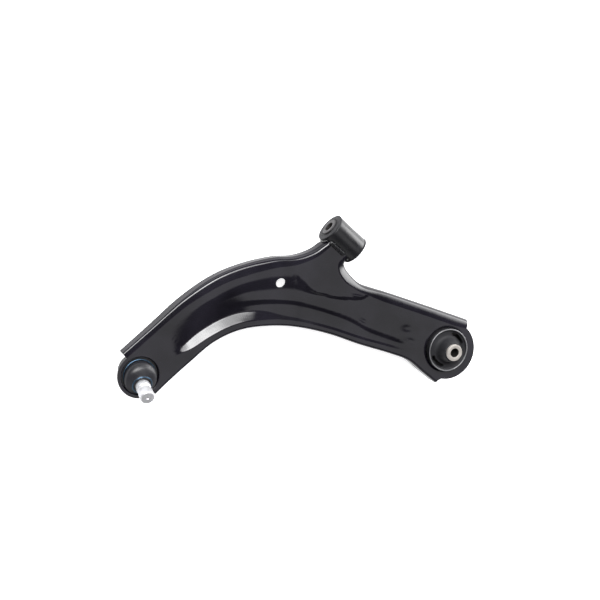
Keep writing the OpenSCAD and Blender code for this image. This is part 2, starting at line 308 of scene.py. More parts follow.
# How the sheet turns down along an edge. Each station is a share of the way along the edge and
# then bends of (length round the bend in mm, angle reached in degrees).
FRONT_BENDS = (
    (0.0, (0.6, 9), (5.4, 13), (2.6, 60), (0.5, 90)),
    (0.14, (0.6, 9), (5.2, 13), (2.6, 60), (0.5, 90)),
    (0.22, (0.6, 9), (6.0, 13), (3.2, 60), (1.5, 90)),
    (0.30, (0.6, 9), (7.6, 13), (3.6, 60), (4.0, 90)),
    (0.44, (0.6, 9), (8.4, 13), (4.6, 60), (4.0, 90)),
    (0.51, (0.6, 9), (7.6, 13), (4.6, 60), (6.0, 90)),
    (0.60, (0.6, 9), (6.6, 13), (4.6, 60), (6.0, 90)),
    (0.70, (0.6, 9), (4.2, 13), (4.6, 60), (6.0, 90)),
    (0.80, (0.6, 9), (3.8, 13), (3.6, 60), (6.5, 90)),
    (1.0, (0.6, 9), (2.6, 13), (3.0, 60), (4.0, 90)),
)
INNER_BENDS = (
    (0.0, (0.8, 12), (2.0, 30), (3.0, 65), (4.0, 90)),
    (0.14, (2.0, 22), (5.0, 33), (3.0, 60), (2.0, 90)),
    (0.2, (3.0, 24), (8.5, 34), (3.0, 60), (2.0, 90)),
    (0.36, (3.0, 24), (9.0, 34), (3.0, 60), (2.0, 90)),
    (0.46, (2.0, 20), (6.0, 36), (4.0, 62), (4.0, 90)),
    (0.58, (1.0, 14), (4.0, 34), (7.0, 66), (6.0, 90)),
    (0.72, (0.8, 12), (9.0, 32), (6.0, 75), (4.5, 90)),
    (0.95, (0.8, 12), (9.2, 32), (6.0, 75), (4.5, 90)),
    (1.0, (0.8, 12), (7.5, 32), (6.0, 75), (4.5, 90)),
)
CONCAVE_BENDS = (
    (0.0, (1.9, 30), (1.9, 60), (1.9, 90)),
    (1.0, (1.9, 30), (1.9, 60), (1.9, 90)),
)
STEPS_A_BEND = 6


def bend_path(stations, share):
    """(run outwards, drop, angle) at each step of the bends, for every point of an edge."""
    marks = [s[0] for s in stations]
    run, drop, angle = np.zeros_like(share), np.zeros_like(share), np.zeros_like(share)
    path = [(run, drop, angle)]
    for i in range(1, len(stations[0])):
        length = np.interp(share, marks, [s[i][0] for s in stations])
        turn = np.radians(np.interp(share, marks, [s[i][1] for s in stations])) - angle
        for k in range(STEPS_A_BEND):
            middle = angle + turn * (k + 0.5) / STEPS_A_BEND
            run = run + length / STEPS_A_BEND * np.cos(middle)
            drop = drop + length / STEPS_A_BEND * np.sin(middle)
            path.append((run, drop, angle + turn * (k + 1) / STEPS_A_BEND))
        angle = angle + turn
    return path


def add_wall(edge, stations, tapered):
    """A bend and a side wall along an edge. Returns the row of points where the web starts."""
    side = -inward(edge)
    path = bend_path(stations, np.linspace(0, 1, len(edge)))
    start = edge - side * path[-1][0][:, None]
    top = web_height(start)
    bottom = wall_bottom(edge[:, 0]) if tapered else np.full(len(edge), WALL_BOTTOM)
    deepest = top - bottom - LEAST_STRAIGHT_WALL
    squeeze = np.minimum(1, deepest / path[-1][1])
    rows = []
    for run, drop, angle in path:
        n = np.column_stack([
            side * (np.sin(angle) * squeeze)[:, None], np.cos(angle)
        ])
        n /= np.linalg.norm(n, axis=1)[:, None]
        if not rows:
            n = web_normal(start)
        p = np.column_stack([start + side * run[:, None], top - drop * squeeze])
        rows.append(skin.add(p, p - SHEET_T * n, n))
    foot = top - path[-1][1] * squeeze
    n = np.column_stack([side, np.zeros(len(edge))])
    for share in (0.5, 1.0):
        p = np.column_stack([edge, foot + (bottom - foot) * share])
        rows.append(skin.add(p, p - SHEET_T * n, n))
    for upper, lower in zip(rows, rows[1:]):
        skin.band(lower, upper)
    return rows[0]


ROWS_THAT_FOLLOW_THE_WEB = 4


def add_turned(centre, top, under, loop_n):
    """A turned-down hole: (r, z) of the top face and underside, from the web inwards."""
    a = np.radians(np.arange(loop_n) * 360 / loop_n)
    circle = np.stack([np.cos(a), np.sin(a)], 1)
    rows = []
    for k, ((r, z), (qr, qz)) in enumerate(zip(top, under)):
        before, after = top[max(k - 1, 0)], top[min(k + 1, len(top) - 1)]
        dr, dz = after[0] - before[0], after[1] - before[1]
        size = math.hypot(dr, dz)
        nr, nz = (dz / size, -dr / size)
        if k == 0:
            nr, nz = 0.0, 1.0
        xy = np.array(centre) + circle * r
        lift = web_height(np.array(centre) + circle * top[0][0]) - WEB_TOP
        lift = lift * max(0.0, 1 - k / ROWS_THAT_FOLLOW_THE_WEB)
        p = np.column_stack([xy, z + lift])
        q = np.column_stack([np.array(centre) + circle * qr, qz + lift])
        n = np.column_stack([circle * nr, np.full(loop_n, nz)])
        rows.append(skin.add(p, q, n))
    for upper, lower in zip(rows, rows[1:]):
        skin.band(lower, upper, closed=True)
    return rows[0]


def in_loops(xy, loops):
    """Even-odd test of points against closed loops."""
    inside = np.zeros(len(xy), bool)
    for loop in loops:
        x0, y0 = loop[:, 0], loop[:, 1]
        x1, y1 = np.roll(x0, -1), np.roll(y0, -1)
        px, py = xy[:, :1], xy[:, 1:]
        spans = (y0 > py) != (y1 > py)
        with np.errstate(divide="ignore", invalid="ignore"):
            cross = x0 + (py - y0) * (x1 - x0) / (y1 - y0)
        inside ^= (np.where(spans, px < cross, False).sum(1) % 2).astype(bool)
    return inside


def gap_to_loops(xy, loops):
    """Distance from points to the nearest loop point or side."""
    best = np.full(len(xy), 1e9)
    for loop in loops:
        a, b = loop, np.roll(loop, -1, axis=0)
        ab = b - a
        rel = xy[:, None, :] - a[None]
        t = np.clip((rel * ab).sum(2) / np.maximum((ab * ab).sum(1), 1e-9), 0, 1)
        best = np.minimum(best, np.linalg.norm(rel - t[:, :, None] * ab, axis=2).min(1))
    return best


def regular_grid(low, high, spacing):
    """Points of equal triangles that cover a rectangle."""
    row_gap = spacing * math.sqrt(3) / 2
    rows = []
    for j in range(int((high[1] - low[1]) / row_gap) + 1):
        xs = np.arange(low[0] + (j % 2) * spacing / 2, high[0], spacing)
        rows.append(np.column_stack([xs, np.full(len(xs), low[1] + j * row_gap)]))
    return np.concatenate(rows)


RISE_SPAN = (0.1, 0.9)
RISE_MARGIN = 2.5


def on_rise(xy):
    """True on and just beside the slope along the concave edge."""
    u, d = place(xy)
    half = at(RISE_W, u) / 2
    near = abs(d - at(RISE_AT, u) - half) < half + RISE_MARGIN
    return (u > RISE_SPAN[0]) & (u < RISE_SPAN[1]) & near


WEB_SPACING = 2.0
LOOP_GAP_SHARE = 0.55


def fill_web(loops):
    """Triangles between loops of existing skin points, over a grid that is finer on the rise."""
    flat = [np.array([skin.p[i][:2] for i in loop]) for loop in loops]
    low, high = flat[0].min(0), flat[0].max(0)
    coarse = regular_grid(low, high, WEB_SPACING)
    fine = regular_grid(low, high, WEB_SPACING / 2)
    grid = np.concatenate([coarse[~on_rise(coarse)], fine[on_rise(fine)]])
    grid = grid[in_loops(grid, flat)]
    grid = grid[gap_to_loops(grid, flat) > WEB_SPACING * LOOP_GAP_SHARE]
    n = web_normal(grid)
    p = np.column_stack([grid, web_height(grid)])
    inner = skin.add(p, p - SHEET_T * n, n)
    ids = [i for loop in loops for i in loop] + inner
    points = [Vector(skin.p[i][:2]) for i in ids]
    sides, first = [], 0
    for loop in loops:
        count = len(loop)
        sides += [(first + i, first + (i + 1) % count) for i in range(count)]
        first += count
    made = delaunay_2d_cdt(points, sides, [], 0, 1e-6, True)
    came_from = [ids[o[0]] for o in made[3]]
    triangles = np.array(made[2])
    middle = np.array([v[:] for v in made[0]])[triangles].mean(1)
    for keep, tri in zip(in_loops(middle, flat), triangles):
        if keep:
            skin.faces.append(tuple(came_from[i] for i in tri))


def shape_saddle(points):
    """Ends the sheet on the front bush tube, following its round."""
    start_x, end_x, low_y, tube_r = -25.0, -8.0, -26.0, 18.7
    p = np.array(points)
    near = (p[:, 0] > start_x) & (p[:, 1] > low_y)
    limit = -np.sqrt(np.maximum(tube_r ** 2 - p[:, 2] ** 2, 1.0))
    moved = start_x + (p[:, 0] - start_x) * (limit - start_x) / (end_x - start_x)
    p[near, 0] = moved[near]
    return p


def skin_mesh():
    """Closes the sheet: top, underside and rounded sheared edges."""
    p, q = shape_saddle(skin.p), shape_saddle(skin.q)
    n = np.array(skin.n)
    count = len(p)
    used = {}
    for face in skin.faces:
        for i, a in enumerate(face):
            b = face[(i + 1) % len(face)]
            used[(a, b)] = used.get((a, b), 0) + 1
    border = [(a, b) for (a, b) in used if (b, a) not in used]
    out = np.zeros((count, 3))
    for a, b in border:
        along = p[b] - p[a]
        away = np.cross(along, n[a] + n[b])
        size = np.linalg.norm(away)
        if size > 1e-9:
            out[a] += away / size
            out[b] += away / size
    ring = sorted({a for side in border for a in side})
    at_ring = {v: i for i, v in enumerate(ring)}
    size = np.maximum(np.linalg.norm(out[ring], axis=1), 1e-9)[:, None]
    e = out[ring] / size
    through = q[ring] - p[ring]
    through /= np.linalg.norm(through, axis=1)[:, None]
    bulge, dip = 0.3, 0.45
    upper = p[ring] + e * bulge + through * dip
    lower = q[ring] + e * bulge - through * dip
    verts = np.concatenate([p, q, upper, lower])
    normals = np.concatenate([n, -n, e, e])
    faces = [tuple(f) for f in skin.faces]
    faces += [tuple(i + count for i in reversed(f)) for f in skin.faces]
    first_upper, first_lower = 2 * count, 2 * count + len(ring)
    for a, b in border:
        ia, ib = at_ring[a], at_ring[b]
        faces.append((b, a, first_upper + ia, first_upper + ib))
        faces.append((first_upper + ib, first_upper + ia, first_lower + ia, first_lower + ib))
        faces.append((first_lower + ib, first_lower + ia, count + a, count + b))
    return verts, faces, normals


def new_mesh(name, verts_mm, faces, normals=None, sharp_deg=None):
    """A smooth-shaded mesh from points in millimetres."""
    me = bpy.data.meshes.new(name)
    me.from_pydata((np.asarray(verts_mm, float) * MM).tolist(), [], faces)
    me.validate()
    me.update()
    me.shade_smooth()
    if normals is not None:
        me.normals_split_custom_set_from_vertices(np.asarray(normals).tolist())
    if sharp_deg is not None:
        me.set_sharp_from_angle(angle=math.radians(sharp_deg))
    return me


def piece(name, me, material, body, nodes=()):
    """One visible object that rides on a body and stands for CAD nodes."""
    obj = bpy.data.objects.new(name, me)
    bpy.context.scene.collection.objects.link(obj)
    me.materials.append(material)
    if body is not None:
        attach(obj, body)
    if nodes:
        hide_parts(*nodes)
    return obj


def build_shell(material):
    """The stamped arm: three walls, two eyes, two turned-down holes and the web between."""
    front = curve(FRONT_EDGE)
    inner = curve(INNER_EDGE)
    concave = curve(CONCAVE_EDGE)
    front_row = add_wall(front, FRONT_BENDS, True)
    inner_row = add_wall(inner, INNER_BENDS, False)
    concave_row = add_wall(concave, CONCAVE_BENDS, True)
    upward = [0.0, 0.0, 1.0]

    def eye(centre, r, start, end):
        xy = arc(centre, r, start, end, 40)
        p = np.column_stack([xy, web_height(xy)])
        n = np.array([upward] * len(xy))
        return skin.add(p, p - SHEET_T * n, n)

    rear_eye = eye(REAR_EYE_CENTRE, REAR_EYE_R, -2, -153)
    ball_eye = eye(BALL_AXIS, BALL_EYE_R, -107, -276)
    outer = front_row + inner_row + rear_eye + concave_row + ball_eye
    collar = add_turned(REAR_AXIS, *collar_profile(), 96)
    well = add_turned(BALL_AXIS, *well_profile(), 96)
    hole_end = 360 - 360 / WEB_HOLE_POINTS
    hole_xy = arc(WEB_HOLE, WEB_HOLE_R + WEB_HOLE_ROLL, 0, hole_end, WEB_HOLE_POINTS - 1)
    n = web_normal(hole_xy)
    p = np.column_stack([hole_xy, web_height(hole_xy)])
    hole = skin.add(p, p - SHEET_T * n, n)
    fill_web([outer, collar, well, hole])
    me = new_mesh("arm_shell_stamped", *skin_mesh())
    piece("arm_shell_stamped", me, material, "arm", ["arm_shell"])


def collar_profile():
    """The rear bush collar: entry round, then a straight bore."""
    bore_r, entry, bottom = 29.05, 3.4, WEB_TOP - 26
    top, under = [], []
    for k in range(9):
        a = math.radians(90 * k / 8)
        top.append((bore_r + entry - entry * math.sin(a), WEB_TOP - entry + entry * math.cos(a)))
        inner = entry - SHEET_T
        under.append((
            bore_r + entry - inner * math.sin(a), WEB_TOP - entry + inner * math.cos(a)
        ))
    for z in (2.0, -6.0, bottom):
        top.append((bore_r, z))
        under.append((bore_r + SHEET_T, z))
    return top, under


def well_profile():
    """The ball joint's well: edge, wall, seat and collar."""
    top = [
        (24.7, 12.0), (24.2, 11.9), (23.75, 11.45), (23.5, 10.8), (23.5, 8.5), (23.5, 5.9),
        (23.2, 5.3), (22.6, 5.0), (21.3, 5.0), (20.75, 4.8), (20.55, 4.3), (20.55, 0.0),
        (20.55, -7.9),
    ]
    under = [
        (27.4, 8.8), (27.1, 8.75), (26.85, 8.6), (26.75, 8.3), (26.75, 6.0), (26.75, 3.4),
        (26.4, 2.3), (25.6, 1.8), (24.6, 1.7), (24.0, 1.4), (23.75, 0.7), (23.75, -3.0),
        (23.75, -7.9),
    ]
    return top, under


# Turned pieces

BOLT_BORE_D = 12.2
# Gap between bonded or pressed pieces, so that no two faces share one place
FIT_GAP = 0.03
PRESS_GAP = 0.02


def turned_frame(where):
    """Places a piece turned about its own Z."""
    if where == "front":
        return Matrix.Rotation(math.radians(90), 4, "X")
    if where == "rear":
        return Matrix.Translation((REAR_AXIS[0], REAR_AXIS[1], 0))
    base = Matrix.Translation((BALL_AXIS[0], BALL_AXIS[1], 0))
    if where == "ball":
        return base
    lift = Matrix.Translation((0, 0, BALL_Z))
    turn = Matrix.Rotation(math.radians(STUD_LEAN_DIR), 4, "Z")
    lean = Matrix.Rotation(math.radians(STUD_LEAN), 4, "Y")
    return base @ lift @ turn @ lean


def soften(outline, default_round, steps=4):
    """Rounds the corners of a closed (r, z[, radius]) outline."""
    count = len(outline)
    made = []
    for i, corner in enumerate(outline):
        here = np.array(corner[:2], float)
        radius = corner[2] if len(corner) > 2 else default_round
        before = np.array(outline[i - 1][:2], float) - here
        after = np.array(outline[(i + 1) % count][:2], float) - here
        lb, la = np.linalg.norm(before), np.linalg.norm(after)
        cut = min(radius, 0.45 * lb, 0.45 * la)
        if cut < 1e-3 or here[0] < 1e-6:
            made.append(here)
            continue
        a, b = here + before / lb * cut, here + after / la * cut
        for k in range(steps + 1):
            t = k / steps
            made.append((1 - t) ** 2 * a + 2 * t * (1 - t) * here + t * t * b)
    return made


def turn_outline(outline, where, steps=96):
    """Vertices and faces of a closed outline turned about the axis."""
    verts, rings = [], []
    for r, z in outline:
        if r < 1e-6:
            rings.append([len(verts)])
            verts.append((0, 0, z))
            continue
        first = len(verts)
        for k in range(steps):
            a = 2 * math.pi * k / steps
            verts.append((r * math.cos(a), r * math.sin(a), z))
        rings.append(list(range(first, first + steps)))
    faces = []
    for i, ring in enumerate(rings):
        nxt = rings[(i + 1) % len(rings)]
        if len(ring) == 1 and len(nxt) == 1:
            continue
        for k in range(steps):
            j = (k + 1) % steps
            a, b = ring[k % len(ring)], ring[j % len(ring)]
            c, d = nxt[j % len(nxt)], nxt[k % len(nxt)]
            face = tuple(dict.fromkeys((a, b, c, d)))
            faces.append(face)
    place_at = turned_frame(where)
    verts = [tuple(place_at @ Vector(v)) for v in verts]
    return verts, faces


def turned(name, outline, where, material, body, nodes=(), edge=0.4, steps=96,
           sharp=40):
    """A turned piece. The outline runs counter-clockwise in (r, z)."""
    verts, faces = turn_outline(soften(outline, edge), where, steps)
    return piece(name, new_mesh(name, verts, faces, sharp_deg=sharp), material, body, nodes)


def tube_outline(r_in, r_out, low, high):
    """A plain tube's outline."""
    return [(r_in, low), (r_out, low), (r_out, high), (r_in, high)]


def refinish(obj, material, where, chosen):
    """Gives the faces chosen by (distance from the axis, height, slope) another finish."""
    obj.data.materials.append(material)
    back = turned_frame(where).inverted()
    for face in obj.data.polygons:
        middle = back @ (face.center / MM)
        slope = (back.to_3x3() @ face.normal).z
        if chosen(math.hypot(middle.x, middle.y), middle.z, slope):
            face.material_index = 1


def turned_sleeve(name, where, low, high, r_out, material, body, node, edge):
    """A bush's inner sleeve: bare outside and ends, and a near-black bolt bore that is painted
    shade.
    """
    outline = tube_outline(BOLT_BORE_D / 2, r_out, low, high)
    obj = turned(name, outline, where, material, body, [node], edge)
    # The bore's faces get a near-black finish: painted shade inside the hole.
    refinish(obj, MATERIALS["bore"], where, lambda r, z, slope: r < BOLT_BORE_D / 2 + 0.05)


# Materials

def shader(name, colour, roughness, metallic=0.0):
    """A material with even values: (material, nodes, links, shader node)."""
    mat = bpy.data.materials.new(name)
    mat.use_nodes = True
    nodes = mat.node_tree.nodes
    bsdf = nodes["Principled BSDF"]
    bsdf.inputs["Base Color"].default_value = (*colour, 1)
    bsdf.inputs["Roughness"].default_value = roughness
    bsdf.inputs["Metallic"].default_value = metallic
    return mat, nodes, mat.node_tree.links, bsdf


def object_noise(nodes, links, scale, detail=3.0):
    """Noise in the piece's own coordinates; scale is per metre."""
    coords = nodes.new("ShaderNodeTexCoord")
    noise = nodes.new("ShaderNodeTexNoise")
    noise.inputs["Scale"].default_value = scale
    noise.inputs["Detail"].default_value = detail
    links.new(coords.outputs["Object"], noise.inputs["Vector"])
    return noise.outputs["Fac"]


def remap(nodes, links, value, from_lo, from_hi, to_lo, to_hi):
    """A value's range turned into another range."""
    node = nodes.new("ShaderNodeMapRange")
    node.inputs["From Min"].default_value = from_lo
    node.inputs["From Max"].default_value = from_hi
    node.inputs["To Min"].default_value = to_lo
    node.inputs["To Max"].default_value = to_hi
    links.new(value, node.inputs["Value"])
    return node.outputs["Result"]


def mix_colour(nodes, links, share, low, high):
    """Two colours mixed by share; each is a tuple or a socket."""
    node = nodes.new("ShaderNodeMix")
    node.data_type = "RGBA"
    for socket, colour in (("A", low), ("B", high)):
        target = [s for s in node.inputs if s.name == socket and s.type == "RGBA"][0]
        if isinstance(colour, tuple):
            target.default_value = (*colour, 1)
        else:
            links.new(colour, target)
    links.new(share, node.inputs["Factor"])
    return [s for s in node.outputs if s.type == "RGBA"][0]


def add_bump(nodes, links, bsdf, heights):
    """Chains bumps; heights are (value, strength, distance in metres)."""
    normal = None
    for value, strength, distance in heights:
        bump = nodes.new("ShaderNodeBump")
        bump.inputs["Strength"].default_value = strength
        bump.inputs["Distance"].default_value = distance
        links.new(value, bump.inputs["Height"])
        if normal is not None:
            links.new(normal, bump.inputs["Normal"])
        normal = bump.outputs["Normal"]
    links.new(normal, bsdf.inputs["Normal"])


def paint(name, colour, rough_lo, rough_hi, peel=0.12, dust=0.5, wall_shine=0.5):
    """Black dip paint: orange peel, uneven gloss and dust. wall_shine below 0.5 dulls walls."""
    mat, nodes, links, bsdf = shader(name, colour, rough_lo)
    gloss = object_noise(nodes, links, 38, 5)
    links.new(remap(nodes, links, gloss, 0.35, 0.7, rough_lo, rough_hi), bsdf.inputs["Roughness"])
    specks = object_noise(nodes, links, 1400, 2)
    share = remap(nodes, links, specks, 0.70, 0.78, 0.0, dust)
    pale = tuple(c + 0.03 for c in colour)
    tone = remap(nodes, links, object_noise(nodes, links, 16, 4), 0.35, 0.65, 0.0, 1.0)
    greyer = tuple(c * 2.2 + 0.002 for c in colour)
    base = mix_colour(nodes, links, tone, colour, greyer)
    links.new(mix_colour(nodes, links, share, base, pale), bsdf.inputs["Base Color"])
    facing = nodes.new("ShaderNodeSeparateXYZ")
    links.new(nodes.new("ShaderNodeNewGeometry").outputs["Normal"], facing.inputs[0])
    level = remap(nodes, links, facing.outputs["Z"], 0.25, 0.75, wall_shine, 0.5)
    links.new(level, bsdf.inputs["Specular IOR Level"])
    add_bump(nodes, links, bsdf, [
        (object_noise(nodes, links, 420, 2), peel, 0.0003),
        (object_noise(nodes, links, 60, 2), 0.25, 0.0004),
        (specks, 0.15, 0.00005),
    ])
    return mat


def rubber(name, colour, rough_lo, rough_hi, grain=0.35, shine=0.3):
    """Moulded rubber or plastic: cloudy gloss, pale bloom and a fine grain."""
    mat, nodes, links, bsdf = shader(name, colour, rough_lo)
    bsdf.inputs["Specular IOR Level"].default_value = shine
    cloud = object_noise(nodes, links, 55, 6)
    links.new(remap(nodes, links, cloud, 0.3, 0.7, rough_lo, rough_hi), bsdf.inputs["Roughness"])
    bloom = remap(nodes, links, object_noise(nodes, links, 25, 6), 0.45, 0.75, 0.0, 0.7)
    pale = tuple(min(1, c * 1.7 + 0.006) for c in colour)
    links.new(mix_colour(nodes, links, bloom, colour, pale), bsdf.inputs["Base Color"])
    add_bump(nodes, links, bsdf, [
        (object_noise(nodes, links, 1800, 3), grain, 0.00008),
        (object_noise(nodes, links, 140, 3), 0.3, 0.0002),
    ])
    return mat


def steel(name, colour, rough_lo, rough_hi, metallic=1.0, grain=0.2, stained=0.6):
    """Bare or plated steel: cloudy stain and fine scratches."""
    mat, nodes, links, bsdf = shader(name, colour, rough_lo, metallic)
    cloud = object_noise(nodes, links, 120, 6)
    links.new(remap(nodes, links, cloud, 0.3, 0.7, rough_lo, rough_hi), bsdf.inputs["Roughness"])
    stain = remap(nodes, links, object_noise(nodes, links, 70, 8), 0.5, 0.8, 0.0, stained)
    dark = tuple(c * 0.62 for c in colour)
    links.new(mix_colour(nodes, links, stain, colour, dark), bsdf.inputs["Base Color"])
    add_bump(nodes, links, bsdf, [(object_noise(nodes, links, 900, 4), grain, 0.00006)])
    return mat


MATERIALS = {
    "arm": paint("arm_paint", (0.0038, 0.0034, 0.0055), 0.10, 0.17, wall_shine=0.04),
    "weld": paint("weld_paint", (0.005, 0.005, 0.006), 0.22, 0.34, 0.5),
    "tube": paint("tube_paint", (0.006, 0.006, 0.007), 0.24, 0.36, 0.3),
    "can": paint("rear_can_paint", (0.008, 0.008, 0.009), 0.25, 0.4, 0.3),
    "housing": paint("housing_paint", (0.006, 0.006, 0.007), 0.3, 0.45, 0.3),
    "rubber": rubber("bush_rubber", (0.010, 0.010, 0.012), 0.55, 0.75),
    "boot": rubber("boot_rubber", (0.013, 0.013, 0.016), 0.34, 0.46, 0.2, 0.45),
    "sleeve": steel("sleeve_steel", (0.46, 0.43, 0.40), 0.4, 0.6, 0.6),
    "dark_sleeve": steel("dark_sleeve_steel", (0.05, 0.048, 0.05), 0.4, 0.6, 0.6),
    # Lighter steel for the can's top rim: a painted highlight along the rim.
    "painted_rim_highlight": steel("painted_rim_highlight_steel", (0.28, 0.28, 0.29), 0.3, 0.45, 0.8),
    # Near-black bolt bore: painted shade inside the hole.
    "bore": steel("bore_painted_shade", (0.02, 0.018, 0.017), 0.5, 0.7, 0.4),
    "stud": steel("stud_steel", (0.56, 0.56, 0.58), 0.46, 0.6, 0.75, 0.1, 0.5),
    # Steel of the wire rings, tinted blue: a painted reflection of blue sky.
    "ring_steel_with_painted_sky": steel("zinc_ring", (0.07, 0.12, 0.18), 0.3, 0.45),
    "spring": steel("spring_steel", (0.07, 0.07, 0.075), 0.35, 0.5),
    "plain": steel("can_steel", (0.30, 0.31, 0.33), 0.35, 0.55),
    "race": rubber("race_plastic", (0.62, 0.60, 0.52), 0.35, 0.5, 0.1),
}


def dress_cad(node, material):
    """A CAD node that is shown as it is, with a detailed finish."""
    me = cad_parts[node].data
    me.materials.clear()
    me.materials.append(material)


# Front bush

TUBE_D = 38.0
TUBE_BORE_D = 33.0
TUBE_LEN = 44.0
FRONT_CAN_WALL = 1.3
FRONT_RUBBER_LEN = 48.5
FRONT_RIM_D = 39.0
FRONT_SLEEVE_D = 22.5
FRONT_SLEEVE_LEN = 52.0


def build_front_bush():
    """The welded tube, its bonded rubber and the inner sleeve."""
    half = TUBE_LEN / 2
    turned("front_tube", tube_outline(TUBE_BORE_D / 2 + PRESS_GAP, TUBE_D / 2, -half, half),
           "front", MATERIALS["tube"], "arm", ["front_bush_tube"], 0.7)
    rim = FRONT_RUBBER_LEN / 2
    rim_back = half + 0.05
    bore_r = FRONT_SLEEVE_D / 2 + FIT_GAP
    can_r = TUBE_BORE_D / 2 - FRONT_CAN_WALL - PRESS_GAP
    outline = [
        (bore_r, -rim + 0.6, 0.2), (bore_r + 1.2, -rim + 0.6, 0.4), (bore_r + 1.9, -rim, 0.5),
        (FRONT_RIM_D / 2, -rim, 1.2), (FRONT_RIM_D / 2, -rim_back, 0.5),
        (can_r, -rim_back, 0.1), (can_r, rim_back, 0.1),
        (FRONT_RIM_D / 2, rim_back, 0.5), (FRONT_RIM_D / 2, rim, 1.2),
        (bore_r + 1.9, rim, 0.5), (bore_r + 1.2, rim - 0.6, 0.4), (bore_r, rim - 0.6, 0.2),
    ]
    turned("front_rubber", outline, "front", MATERIALS["rubber"], "arm", ["front_bush_rubber"])
    end = FRONT_SLEEVE_LEN / 2
    turned_sleeve("front_sleeve", "front", -end, end, FRONT_SLEEVE_D / 2, MATERIALS["dark_sleeve"],
                  "front_sleeve", "front_bush_inner_sleeve", 0.7)
    dress_cad("front_bush_outer_sleeve", MATERIALS["plain"])


# Rear bush

REAR_CAN_D = 58.0
REAR_CAN_WALL = 1.6
REAR_CAN_LOW = -22.0
REAR_CAN_HIGH = 20.0
REAR_SLEEVE_D = 22.2
REAR_SLEEVE_LOW = -26.0
REAR_SLEEVE_HIGH = 37.0
# The rubber's voids: (middle radius, width, length in degrees) and where they lie
VOID_SIZE = (22.6, 4.6, 50)
VOID_DIRECTIONS = (-2, 178)


def kidney(mid_r, width, arc_deg, direction, low, high):
    """A curved slot cutter with round ends."""
    half = math.radians(arc_deg / 2)
    turn = math.radians(direction)
    pts = []
    for k in range(17):
        a = turn - half + 2 * half * k / 16
        pts.append(((mid_r + width / 2) * math.cos(a), (mid_r + width / 2) * math.sin(a)))
    for end, sign in ((turn + half, 1), (turn - half, -1)):
        centre = (mid_r * math.cos(end), mid_r * math.sin(end))
        for k in range(1, 8):
            swing = math.pi * k / 8
            a = end + (swing if sign > 0 else math.pi + swing)
            pts.append((centre[0] + width / 2 * math.cos(a), centre[1] + width / 2 * math.sin(a)))
        if sign > 0:
            for k in range(17):
                a = turn + half - 2 * half * k / 16
                pts.append(((mid_r - width / 2) * math.cos(a), (mid_r - width / 2) * math.sin(a)))
    count = len(pts)
    place_at = turned_frame("rear")
    verts = [tuple(place_at @ Vector((x, y, z))) for z in (low, high) for x, y in pts]
    faces = [tuple(reversed(range(count))), tuple(range(count, 2 * count))]
    for i in range(count):
        j = (i + 1) % count
        faces.append((i, j, count + j, count + i))
    return verts, faces


def cut_out(obj, cutters):
    """Cuts closed meshes out of a piece."""
    tools = []
    for i, (verts, faces) in enumerate(cutters):
        tool = bpy.data.objects.new(f"{obj.name}_cut_{i}", new_mesh("cutter", verts, faces))
        bpy.context.scene.collection.objects.link(tool)
        mod = obj.modifiers.new("cut", "BOOLEAN")
        mod.object = tool
        mod.operation = "DIFFERENCE"
        mod.solver = "EXACT"
        tools.append(tool)
    bpy.context.view_layer.update()
    baked = bpy.data.meshes.new_from_object(
        obj.evaluated_get(bpy.context.evaluated_depsgraph_get())
    )
    obj.modifiers.clear()
    obj.data = baked
    for tool in tools:
        bpy.data.objects.remove(tool)
    baked.shade_smooth()
    baked.set_sharp_from_angle(angle=math.radians(40))


def build_rear_bush():
    """The can, the rubber in two halves with its voids, and the inner sleeve."""
    can_r = REAR_CAN_D / 2
    can = turned("rear_can",
                 tube_outline(can_r - REAR_CAN_WALL, can_r, REAR_CAN_LOW, REAR_CAN_HIGH),
                 "rear", MATERIALS["can"], "arm", ["rear_bush_outer_sleeve"], 0.5)
    # The can's top rim gets the lighter steel finish: a painted highlight.
    refinish(can, MATERIALS["painted_rim_highlight"], "rear",
             lambda r, z, slope: z > REAR_CAN_HIGH - 0.4 and slope > 0.3)
    in_can = can_r - REAR_CAN_WALL - FIT_GAP
    on_sleeve = REAR_SLEEVE_D / 2 + FIT_GAP
    upper = [
        (on_sleeve, 0, 0), (in_can, 0, 0), (in_can, 18.2, 0.3), (in_can - 0.9, 17.6, 0.4),
        (in_can - 2.0, 17.0, 0.6), (18.8, 17.2, 2.0), (15.6, 20.5, 3.0), (13.6, 28.5, 3.0),
        (12.8, 33.0, 0.8), (on_sleeve, 33.8, 0.3),
    ]
    lower = [
        (on_sleeve, -23.4, 0.3), (14.2, -23.4, 1.0), (17.5, -19.6, 2.0), (in_can - 2.5, -19.4, 1.0),
        (in_can, -20.2, 0.4), (in_can, 0, 0), (on_sleeve, 0, 0),
    ]
    slots = [kidney(*VOID_SIZE, direction, -40, 60) for direction in VOID_DIRECTIONS]
    for name, outline, span in (("rear_rubber_upper", upper, (17.8, 30)),
                                ("rear_rubber_lower", lower, (-17, -23))):
        verts, faces = turn_outline(soften(outline, 0.3), "rear")
        obj = piece(name, new_mesh(name, verts, faces, sharp_deg=40), MATERIALS["rubber"], None,
                    ["rear_bush_rubber"])
        cut_out(obj, slots)
        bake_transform(obj)
    turned_sleeve("rear_sleeve", "rear", REAR_SLEEVE_LOW, REAR_SLEEVE_HIGH, REAR_SLEEVE_D / 2,
                  MATERIALS["sleeve"], "rear_sleeve", "rear_bush_inner_sleeve", 0.8)


# Ball joint

# Wire rings: (radius, height, radius of the wire)
BASE_WIRE = (19.85, 8.8, 0.9)
STUD_WIRE = (11.85, 24.8, 0.8)


